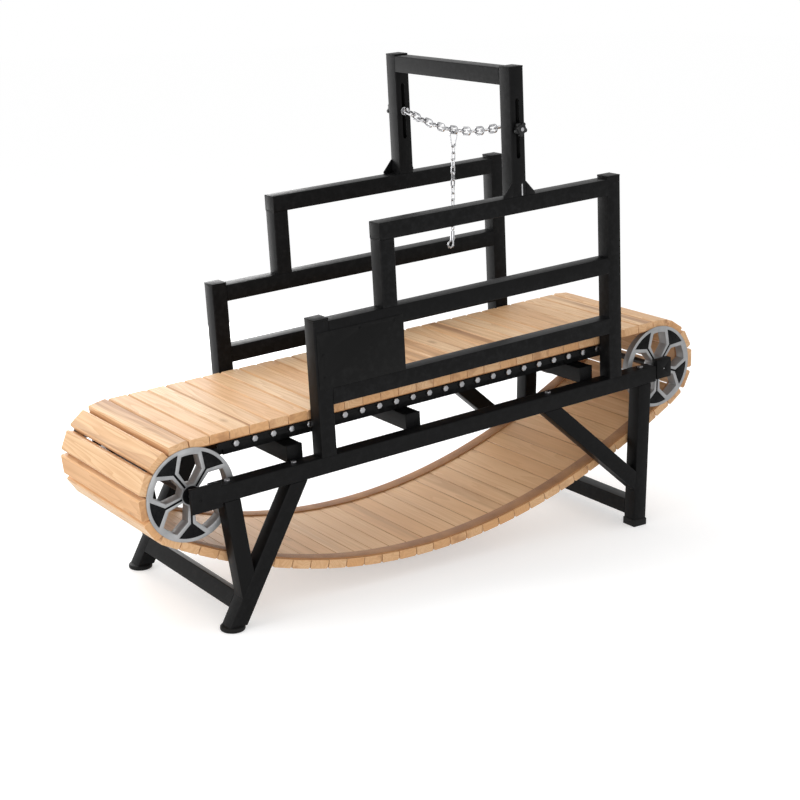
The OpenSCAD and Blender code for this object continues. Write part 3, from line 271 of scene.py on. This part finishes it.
def webbing(name, look):
    material, tree, shader = freshMaterial(name)
    coords = tree.nodes.new("ShaderNodeTexCoord").outputs["Object"]
    parts = tree.nodes.new("ShaderNodeSeparateXYZ")
    tree.links.new(coords, parts.inputs["Vector"])
    along = mathOf(tree, "SINE", mathOf(tree, "MULTIPLY", parts.outputs["X"], look["ribsAlong"]))
    across = mathOf(tree, "SINE", mathOf(tree, "MULTIPLY", parts.outputs["Y"], look["ribsAcross"]))
    weave = mathOf(tree, "MULTIPLY", along, across)
    fuzz = noiseOf(tree, coords, *look["fuzz"])
    cloud = noiseOf(tree, coords, *look["cloud"])
    colour = rampOf(tree, cloud, look["cloudSpan"], look["dark"], look["light"])
    # painted shade: the colour darkens in the low parts of the weave
    hollowShade = spanOf(tree, weave, look["weaveSpan"], (look["weaveShare"], 0.0))
    colour = mixOf(tree, hollowShade, colour, look["dark"])
    tree.links.new(colour, shader.inputs["Base Color"])
    tree.links.new(spanOf(tree, fuzz, look["fuzzSpan"], look["rough"]), shader.inputs["Roughness"])
    shader.inputs["Sheen Weight"].default_value = look["sheen"]
    tree.links.new(bumpOf(tree, weave, look["weaveBump"], look["weaveDepth"]), shader.inputs["Normal"])
    return material


framePaintSet = {
    "dark": (0.0040, 0.0040, 0.0041), "light": (0.0046, 0.0046, 0.0048), "worn": (0.020, 0.020, 0.021),
    "rough": 0.40, "grain": 900.0, "depth": 0.00012, "shine": 0.08,
}
panelPaintSet = {
    "dark": (0.0047, 0.0047, 0.0047), "light": (0.0053, 0.0053, 0.0053), "worn": (0.025, 0.025, 0.025),
    "rough": 0.42, "grain": 900.0, "depth": 0.00012, "shine": 0.08,
}
capPlasticSet = {
    "dark": (0.0052, 0.0052, 0.0054), "light": (0.0068, 0.0068, 0.0070), "worn": (0.02, 0.02, 0.02),
    "rough": 0.44, "grain": 1400.0, "depth": 0.00015, "shine": 0.08,
}
footRubberSet = {
    "dark": (0.0045, 0.0045, 0.0045), "light": (0.008, 0.008, 0.0076), "worn": (0.022, 0.021, 0.020),
    "rough": 0.6, "grain": 900.0, "depth": 0.0004, "shine": 0.15,
}
rollerNylonSet = {
    "dark": (0.010, 0.010, 0.011), "light": (0.018, 0.018, 0.019), "worn": (0.05, 0.05, 0.05),
    "rough": 0.4, "grain": 700.0, "depth": 0.0002, "shine": 0.25,
}
inlayBlackSet = {
    "dark": (0.0035, 0.0035, 0.0038), "light": (0.0055, 0.0055, 0.0060), "worn": (0.02, 0.02, 0.02),
    "rough": 0.3, "grain": 900.0, "depth": 0.0001, "shine": 0.06,
}
knobPlasticSet = {
    "dark": (0.0045, 0.0045, 0.0048), "light": (0.0075, 0.0075, 0.0078), "worn": (0.025, 0.025, 0.025),
    "rough": 0.34, "grain": 1500.0, "depth": 0.0001, "shine": 0.3,
}
axlePaintSet = {
    "dark": (0.005, 0.005, 0.0055), "light": (0.009, 0.009, 0.0095), "worn": (0.05, 0.05, 0.052),
    "rough": 0.34, "grain": 700.0, "depth": 0.0002, "shine": 0.3,
}
boltZincSet = {
    "dark": (0.27, 0.27, 0.28), "light": (0.38, 0.38, 0.39), "rough": 0.3,
    "stretch": (1.0, 1.0, 6.0), "depth": 0.00012, "metallic": 1.0,
}
bushSteelSet = {
    "dark": (0.20, 0.20, 0.21), "light": (0.30, 0.30, 0.31), "rough": 0.34,
    "stretch": (6.0, 1.0, 1.0), "depth": 0.00012, "metallic": 1.0,
}
wheelSilverSet = {
    "dark": (0.27, 0.275, 0.28), "light": (0.36, 0.36, 0.365), "rough": 0.42,
    "stretch": (2.0, 14.0, 2.0), "depth": 0.00012, "metallic": 0.45,
}
chainChromeSet = {
    "dark": (0.30, 0.30, 0.31), "light": (0.66, 0.66, 0.67), "rough": 0.12,
    "stretch": (3.0, 3.0, 3.0), "depth": 0.00005, "metallic": 1.0,
}
finishOf = {
    "frame_black": coating("framePaint", framePaintSet),
    "panel_black": coating("panelPaint", panelPaintSet),
    "cap_black": coating("capPlastic", capPlasticSet),
    "foot_rubber": coating("footRubber", footRubberSet),
    "roller_dark": coating("rollerNylon", rollerNylonSet),
    "inlay_black": coating("inlayBlack", inlayBlackSet),
    "knob_black": coating("knobPlastic", knobPlasticSet),
    "axle_black": coating("axlePaint", axlePaintSet),
    "bolt_zinc": metal("boltZinc", boltZincSet),
    "bush_steel": metal("bushSteel", bushSteelSet),
    "wheel_silver": metal("wheelSilver", wheelSilverSet),
    "chain_chrome": metal("chainChrome", chainChromeSet),
    "slat_wood": wood("slatWood", slatWoodSet),
    "carrier_brown": webbing("carrierWeb", carrierWebSet),
}
for nodeName, part in nodes.items():
    part.data.materials.clear()
    part.data.materials.append(finishOf[slotOf[nodeName]])
print("materials made:", len(finishOf))


# Helpers for picking, copying and rounding, with angles in degrees
meshSet = {"weldGap": 0.00002, "flatAngle": 0.6, "smoothAngle": 35.0, "seedSize": 0.001}


def pick(piece):
    if bpy.context.mode != "OBJECT":
        bpy.ops.object.mode_set(mode="OBJECT")
    bpy.ops.object.select_all(action="DESELECT")
    piece.select_set(True)
    bpy.context.view_layer.objects.active = piece


def copyOf(node, name):
    mesh = nodes[node].data.copy()
    mesh.materials.clear()
    piece = bpy.data.objects.new(name, mesh)
    bpy.context.scene.collection.objects.link(piece)
    pick(piece)
    bpy.ops.mesh.customdata_custom_splitnormals_clear()
    bpy.ops.object.mode_set(mode="EDIT")
    bpy.ops.mesh.select_all(action="SELECT")
    bpy.ops.mesh.remove_doubles(threshold=meshSet["weldGap"])
    bpy.ops.mesh.dissolve_limited(angle_limit=math.radians(meshSet["flatAngle"]))
    bpy.ops.object.mode_set(mode="OBJECT")
    return piece


def roundEdges(piece, width, segments, longest=0.0, sharp=30.0, broad=0.0):
    pick(piece)
    bpy.ops.object.mode_set(mode="EDIT")
    bpy.ops.mesh.select_mode(type="EDGE")
    bpy.ops.mesh.select_all(action="DESELECT")
    shape = bmesh.from_edit_mesh(piece.data)
    for edge in shape.edges:
        if len(edge.link_faces) != 2 or not edge.is_convex:
            continue
        length = edge.calc_length()
        if edge.calc_face_angle() < math.radians(sharp) or length < longest:
            continue
        if broad and min(face.calc_area() for face in edge.link_faces) < broad * length:
            continue
        edge.select_set(True)
    bmesh.update_edit_mesh(piece.data)
    bpy.ops.mesh.bevel(offset=width, segments=segments, affect="EDGES", clamp_overlap=True)
    bpy.ops.object.mode_set(mode="OBJECT")
    bpy.ops.object.shade_smooth_by_angle(angle=math.radians(meshSet["smoothAngle"]))


def settle(piece, body, slotName, *stands):
    piece.data.materials.clear()
    piece.data.materials.append(finishOf[slotName])
    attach(piece, body)
    if stands:
        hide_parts(*stands)


# Rounded copy of a node, which takes the node's place
def dress(nodeName, name, *roundings):
    piece = copyOf(nodeName, name)
    for rounding in roundings:
        roundEdges(piece, **rounding)
    settle(piece, bodyOf[nodeName], slotOf[nodeName], nodeName)


# Square tubes with rounded long edges
tubeSet = {"width": 0.0028, "segments": 3, "longest": 0.03, "broad": 0.01}
tubeNodes = [
    "main_beams", "rear_legs", "rear_struts", "rear_leg_crossbar", "front_legs", "front_braces",
    "front_leg_crossbar", "deck_cross_tubes", "deck_stringers", "rear_guard_posts", "mid_guard_posts",
    "front_guard_posts", "top_guard_rails", "mid_guard_rails", "lower_guard_rails", "portal_posts",
    "portal_crossbar",
]
for nodeName in tubeNodes:
    dress(nodeName, nodeName + ".rounded", tubeSet)
print("tubes rounded:", len(tubeNodes))


# Slats with eased corners and softened long edges
slatSet = {
    "edges": {"width": 0.0007, "segments": 1, "sharp": 60.0},
    "crown": {"width": 0.0016, "segments": 2, "longest": 0.2, "sharp": 40.0},
}
slatNodes = ["top_slats", "front_slats", "bottom_slats", "rear_slats"]
for nodeName in slatNodes:
    dress(nodeName, nodeName + ".rounded", slatSet["edges"], slatSet["crown"])
print("slats rounded:", len(slatNodes))


# Caps, plugs and feet with moulded edges
capSet = {"width": 0.0014, "segments": 3}
for nodeName in ["beam_end_caps", "guard_caps", "portal_caps"]:
    dress(nodeName, nodeName + ".moulded", capSet)
footSet = {"front_feet": {"width": 0.0022, "segments": 4}, "rear_feet": {"width": 0.005, "segments": 4}}
for nodeName, rounding in footSet.items():
    dress(nodeName, nodeName + ".moulded", rounding)
print("caps and feet rounded")


# Hex bolts and nuts with chamfered corners
boltSet = {"width": 0.0009, "segments": 2}
for nodeName in ["leg_bolts", "plate_bolts", "roller_bolts", "roller_nuts"]:
    dress(nodeName, nodeName + ".chamfered", boltSet)
print("bolts chamfered")


# Cast wheels, their black inlays and hub covers
wheelSet = {
    "rim": {"width": 0.0012, "segments": 2, "sharp": 50.0},
    "inlay": {"width": 0.0006, "segments": 2, "sharp": 50.0},
    "hub": {"width": 0.0020, "segments": 3, "sharp": 50.0},
}
for end in ["rear", "front"]:
    dress(end + "_wheels", end + "_wheels.cast", wheelSet["rim"])
    dress(end + "_wheel_inlays", end + "_inlays.moulded", wheelSet["inlay"])
    dress(end + "_hub_covers", end + "_hubs.moulded", wheelSet["hub"])
print("wheels rounded")


# Sheet and bar pieces with broken edges, by the width of the edge
barSet = {"segments": 2, "sharp": 40.0}
barEdges = {
    "side_panel": 0.0007, "portal_gussets": 0.0010, "front_axle_blocks": 0.0020, "outer_roller_bars": 0.0010,
    "inner_roller_bars": 0.0010, "panel_rivets": 0.0006, "cross_tube_end_plates": 0.0012, "rollers": 0.0015,
    "take_up_tongues": 0.0008, "carrier_belts": 0.0010, "slot_washers": 0.0004, "near_knob": 0.0018,
    "far_knob": 0.0018,
}
for nodeName, width in barEdges.items():
    dress(nodeName, nodeName + ".broken", {"width": width, **barSet})
print("sheet and bar pieces rounded:", len(barEdges))


# Deck frame: tilted front up about the middle of the axle line
deckSet = {"tilt": math.radians(3.5), "rise": 0.479, "frontAxle": 0.895}


def deckPlace(along, across, up):
    x = along * math.cos(deckSet["tilt"]) - up * math.sin(deckSet["tilt"])
    z = deckSet["rise"] + along * math.sin(deckSet["tilt"]) + up * math.cos(deckSet["tilt"])
    return Vector((x, across, z))


# Round shape spun from a profile of radius and height pairs, standing on +Z
def turned(name, profile, steps):
    bpy.ops.mesh.primitive_plane_add(size=meshSet["seedSize"], location=(0.0, 0.0, 0.0))
    piece = bpy.context.object
    piece.name = name
    bpy.ops.object.mode_set(mode="EDIT")
    bpy.ops.mesh.select_all(action="SELECT")
    bpy.ops.mesh.merge(type="CENTER")
    bpy.ops.mesh.select_mode(type="VERT")
    bpy.ops.mesh.select_all(action="SELECT")
    bpy.ops.transform.translate(value=(profile[0][0], 0.0, profile[0][1]))
    for (fromR, fromZ), (toR, toZ) in zip(profile, profile[1:]):
        bpy.ops.mesh.extrude_region_move(TRANSFORM_OT_translate={"value": (toR - fromR, 0.0, toZ - fromZ)})
    bpy.ops.mesh.select_all(action="SELECT")
    bpy.ops.mesh.spin(steps=steps, angle=math.tau, center=(0.0, 0.0, 0.0), axis=(0.0, 0.0, 1.0))
    bpy.ops.mesh.select_all(action="SELECT")
    bpy.ops.mesh.remove_doubles(threshold=meshSet["weldGap"])
    bpy.ops.mesh.normals_make_consistent(inside=False)
    bpy.ops.object.mode_set(mode="OBJECT")
    bpy.ops.object.shade_smooth_by_angle(angle=math.radians(meshSet["smoothAngle"]))
    return piece


# Copy with its own mesh, tipped about X and moved inside the mesh so that the object stays at the origin
def tippedCopy(first, name, angle, place):
    piece = first.copy()
    piece.data = first.data.copy()
    piece.name = name
    bpy.context.scene.collection.objects.link(piece)
    pick(piece)
    bpy.ops.object.mode_set(mode="EDIT")
    bpy.ops.mesh.select_all(action="SELECT")
    bpy.ops.transform.rotate(value=angle, orient_axis="X", center_override=(0.0, 0.0, 0.0))
    bpy.ops.transform.translate(value=place)
    bpy.ops.object.mode_set(mode="OBJECT")
    return piece


def joined(pieces, name):
    pick(pieces[0])
    for piece in pieces[1:]:
        piece.select_set(True)
    bpy.ops.object.join()
    pieces[0].name = name
    return pieces[0]


# Grease nipples in the front axle blocks
nippleSet = {
    "profile": [
        (0.0, -0.0008), (0.0024, -0.0008), (0.0024, 0.0005), (0.0017, 0.0009), (0.0015, 0.0018),
        (0.0009, 0.0024), (0.0, 0.0026),
    ],
    "steps": 14,
}
nipple = turned("nipple.first", nippleSet["profile"], nippleSet["steps"])
blockFace = max(corner[1] for corner in nodes["front_axle_blocks"].bound_box)
nipples = []
for side in (-1.0, 1.0):
    outward = math.radians(90.0) * side
    place = deckPlace(deckSet["frontAxle"], side * blockFace, 0.0)
    nipples.append(tippedCopy(nipple, "nipple", outward, place))
bpy.data.objects.remove(nipple)
greaseNipples = joined(nipples, "grease_nipples")
settle(greaseNipples, "frame", "bolt_zinc")
print("grease nipples set")


# Bright strip low on the near portal post
stripSet = {"size": (0.0045, 0.0005, 0.036), "along": 0.2835, "up": 0.7065, "round": 0.00012, "segments": 2}
postFace = min(corner[1] for corner in nodes["portal_posts"].bound_box)
bpy.ops.mesh.primitive_cube_add(size=1.0, location=(0.0, 0.0, 0.0))
strip = bpy.context.object
strip.name = "post_strip"
bpy.ops.object.mode_set(mode="EDIT")
bpy.ops.mesh.select_all(action="SELECT")
bpy.ops.transform.resize(value=stripSet["size"])
bpy.ops.mesh.bevel(
    offset=stripSet["round"], segments=stripSet["segments"], affect="EDGES", clamp_overlap=True)
bpy.ops.mesh.select_all(action="SELECT")
bpy.ops.transform.rotate(value=deckSet["tilt"], orient_axis="Y", center_override=(0.0, 0.0, 0.0))
bpy.ops.transform.translate(value=deckPlace(stripSet["along"], postFace, stripSet["up"]))
bpy.ops.object.mode_set(mode="OBJECT")
settle(strip, "frame", "chain_chrome")
print("post strip set")


# Camera at the photograph's angle
viewSet = {
    "azimuth": -34.75, "elevation": 15.87, "distance": 5.452, "target": (0.0122, 0.0, 0.4955),
    "lens": 75.67, "sensor": 36.0, "clipStart": 0.05, "clipEnd": 100.0,
}
turn = math.radians(viewSet["azimuth"])
rise = math.radians(viewSet["elevation"])
back = Vector((math.sin(turn) * math.cos(rise), -math.cos(turn) * math.cos(rise), math.sin(rise)))
bpy.ops.object.camera_add(location=Vector(viewSet["target"]) + back * viewSet["distance"])
camera = bpy.context.object
camera.rotation_mode = "QUATERNION"
camera.rotation_quaternion = (-back).to_track_quat("-Z", "Y")
camera.data.sensor_width = viewSet["sensor"]
camera.data.lens = viewSet["lens"]
camera.data.clip_start = viewSet["clipStart"]
camera.data.clip_end = viewSet["clipEnd"]
bpy.context.scene.camera = camera

# White surround, brighter for the lens than for the light it gives
white = (1.0, 1.0, 1.0, 1.0)
surroundSet = {"given": 0.80, "seen": 1.0}
world = bpy.data.worlds.new("surround")
bpy.context.scene.world = world
world.use_nodes = True
sky = world.node_tree
skyShader = sky.nodes["Background"]
skyShader.inputs["Color"].default_value = white
rays = sky.nodes.new("ShaderNodeLightPath")
seen = mathOf(sky, "MAXIMUM", rays.outputs["Is Camera Ray"], rays.outputs["Is Transmission Ray"])
seen = mathOf(sky, "MAXIMUM", seen, rays.outputs["Is Glossy Ray"])
level = spanOf(sky, seen, (0.0, 1.0), (surroundSet["given"], surroundSet["seen"]))
sky.links.new(level, skyShader.inputs["Strength"])

# Pale floor that keeps the shadow
groundSet = {"size": 40.0, "drop": 0.0005, "tone": (0.72, 0.72, 0.72, 1.0), "glow": 0.42}
bpy.ops.mesh.primitive_plane_add(size=groundSet["size"], location=(0.0, 0.0, -groundSet["drop"]))
ground = bpy.context.object
ground.name = "ground"
groundMaterial, groundTree, groundShader = freshMaterial("groundPale")
groundShader.inputs["Base Color"].default_value = groundSet["tone"]
groundShader.inputs["Roughness"].default_value = 1.0
groundShader.inputs["Specular IOR Level"].default_value = 0.0
rays = groundTree.nodes.new("ShaderNodeLightPath")
seen = mathOf(groundTree, "MAXIMUM", rays.outputs["Is Camera Ray"], rays.outputs["Is Glossy Ray"])
glow = spanOf(groundTree, seen, (0.0, 1.0), (0.0, groundSet["glow"]))
groundShader.inputs["Emission Color"].default_value = white
groundTree.links.new(glow, groundShader.inputs["Emission Strength"])
ground.data.materials.append(groundMaterial)

# Soft square lamps, with power in watts
lampSet = {
    "overhead": {"place": (-1.7, 0.3, 3.6), "aim": (-0.7, 0.0, 0.5), "size": 2.4, "power": 27.0},
    "underFar": {"place": (0.0, 3.0, 0.75), "aim": (0.0, 0.0, 0.2), "size": 2.6, "power": 96.0},
    "underNear": {"place": (-1.2, -3.0, 0.55), "aim": (0.0, 0.0, 0.2), "size": 2.2, "power": 36.0},
    "rearSide": {"place": (-4.2, 0.6, 1.8), "aim": (0.0, 0.0, 0.6), "size": 2.4, "power": 48.0},
}
for lampName, look in lampSet.items():
    bpy.ops.object.light_add(type="AREA", location=look["place"])
    lamp = bpy.context.object
    lamp.name = lampName
    lamp.data.energy = look["power"]
    lamp.data.size = look["size"]
    lamp.rotation_mode = "QUATERNION"
    lamp.rotation_quaternion = (Vector(look["aim"]) - Vector(look["place"])).to_track_quat("-Z", "Y")
bpy.context.scene.view_settings.view_transform = "Standard"
print("stage and lights set")
